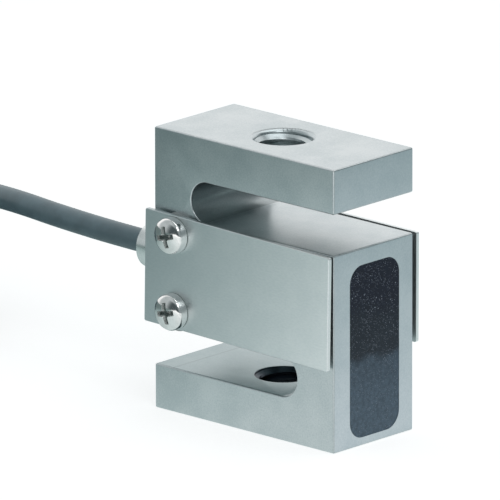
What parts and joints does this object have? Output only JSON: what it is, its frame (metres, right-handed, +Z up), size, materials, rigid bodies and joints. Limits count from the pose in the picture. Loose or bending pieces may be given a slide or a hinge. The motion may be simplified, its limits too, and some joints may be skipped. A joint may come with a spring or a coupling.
{
  "type": "s type load cell",
  "caption": "S shaped load cell with a threaded hole in each arm, side cover plates, a potted end and a cable with bare leads.",
  "frame": {"origin": "where the load axis, through both threaded holes, meets the bottom face", "axes": "+Z up along the load axis, X along the arms with the cable leaving at -X and the potted end at +X, front cover at -Y"},
  "size_m": [0.2056, 0.0466, 0.061],
  "materials": {
    "element_metal": "satin nickel plating with a fine even grain",
    "cover_metal": "satin sheet steel",
    "washer_metal": "plain zinc plate",
    "screw_metal": "bright nickel plate",
    "gland_metal": "bright nickel plate",
    "seal_rubber": "matt black rubber",
    "gauge_foil": "amber film with a foil grid",
    "terminal": "copper pad with solder",
    "sealant": "translucent white silicone",
    "board": "green solder mask",
    "resistor": "black glazed chip",
    "potting": "dark blue-black resin with fine specks",
    "cable_jacket": "dark grey PVC",
    "tie_plastic": "black nylon",
    "tinned_copper": "tinned copper",
    "red_insulation": "red PVC",
    "black_insulation": "black PVC",
    "green_insulation": "green PVC",
    "white_insulation": "white PVC"
  },
  "bodies": {
    "root": {"black_board_wire": "black_insulation", "black_core": "black_insulation", "black_lead": "black_insulation", "cable_end_boot": "cable_jacket", "cable_hank": "cable_jacket", "cable_tube": "cable_jacket", "compensation_board": "board", "drain_wire": "tinned_copper", "end_potting": "potting", "front_board_terminal": "terminal", "front_cable_terminal": "terminal", "front_cover": "cover_metal", "front_hank_tie": "tie_plastic", "front_sealant": "sealant", "gland_body": "gland_metal", "gland_nut": "gland_metal", "gland_seal": "seal_rubber", "green_board_wire": "green_insulation", "green_core": "green_insulation", "green_lead": "green_insulation", "lower_front_gauge": "gauge_foil", "lower_front_screw": "screw_metal", "lower_front_washer": "washer_metal", "lower_rear_gauge": "gauge_foil", "lower_rear_screw": "screw_metal", "lower_rear_washer": "washer_metal", "rear_board_terminal": "terminal", "rear_cable_terminal": "terminal", "rear_cover": "cover_metal", "rear_hank_tie": "tie_plastic", "rear_sealant": "sealant", "red_board_wire": "red_insulation", "red_core": "red_insulation", "red_lead": "red_insulation", "spring_element": "element_metal", "trim_resistor_1": "resistor", "trim_resistor_2": "resistor", "trim_resistor_3": "resistor", "trim_resistor_4": "resistor", "upper_front_gauge": "gauge_foil", "upper_front_screw": "screw_metal", "upper_front_washer": "washer_metal", "upper_rear_gauge": "gauge_foil", "upper_rear_screw": "screw_metal", "upper_rear_washer": "washer_metal", "white_board_wire": "white_insulation", "white_core": "white_insulation", "white_lead": "white_insulation"}
  },
  "joints": []
}
